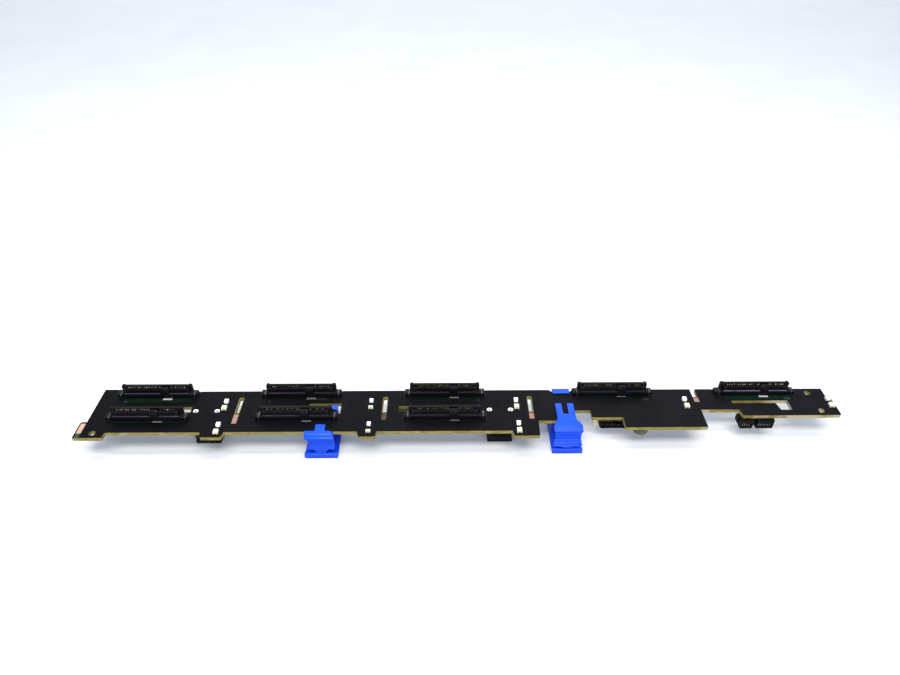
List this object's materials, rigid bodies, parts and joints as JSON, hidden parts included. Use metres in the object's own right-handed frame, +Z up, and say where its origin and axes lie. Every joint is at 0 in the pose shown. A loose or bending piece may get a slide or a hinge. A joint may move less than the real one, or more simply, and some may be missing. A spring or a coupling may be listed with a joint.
{
  "type": "drive backplane board",
  "caption": "Long narrow circuit board with upright drive receptacles, lamp pairs, rear cable sockets and one-piece blue release latches, for a row of server drive bays.",
  "frame": {"origin": "middle of the bounding box at its underside, which is the standing surface of the cable sockets and latches", "axes": "+X along the board to the right end, +Y to the far long edge, +Z up from the rear side to the drive side"},
  "size_m": [0.4244, 0.0384, 0.0239],
  "materials": {
    "laminate": "glass-epoxy laminate with green solder mask and a yellow cut edge",
    "film": "black insulating film, satin",
    "copper": "bare copper with a clear finish",
    "tinned_sheet": "tin-plated metal",
    "lamp_white": "white lamp resin",
    "lamp_cream": "cream lamp resin",
    "lens": "clear lamp lens",
    "ceramic": "fired ceramic with tinned ends",
    "connector_resin": "black glass-filled connector resin",
    "gold": "gold-plated contact alloy",
    "can": "dark sleeve with an olive tint",
    "epoxy": "black moulded epoxy",
    "latch_blue": "blue moulded acetal"
  },
  "bodies": {
    "root": {"activity_lamps": "lamp_white", "cable_socket_contacts": "gold", "cable_socket_pegs": "tinned_sheet", "circuit_board": "laminate", "controller_chip": "epoxy", "copper_pads": "copper", "drive_receptacle_1": "connector_resin", "drive_receptacle_2": "connector_resin", "drive_receptacle_3": "connector_resin", "drive_receptacle_4": "connector_resin", "drive_receptacle_5": "connector_resin", "drive_receptacle_6": "connector_resin", "drive_receptacle_7": "connector_resin", "drive_receptacle_8": "connector_resin", "hold_down_clips": "tinned_sheet", "insulating_film": "film", "lamp_lenses": "lens", "power_header": "connector_resin", "power_header_pins": "tinned_sheet", "rear_cable_socket_left": "connector_resin", "rear_cable_socket_right": "connector_resin", "rear_chips": "ceramic", "receptacle_contacts_1": "gold", "receptacle_contacts_2": "gold", "receptacle_contacts_3": "gold", "receptacle_contacts_4": "gold", "receptacle_contacts_5": "gold", "receptacle_contacts_6": "gold", "receptacle_contacts_7": "gold", "receptacle_contacts_8": "gold", "regulator_coil": "epoxy", "release_latch_left": "latch_blue", "release_latch_right": "latch_blue", "sideband_header": "connector_resin", "sideband_springs": "tinned_sheet", "smoothing_can": "can", "status_lamps": "lamp_cream", "test_pin": "gold"}
  },
  "joints": []
}
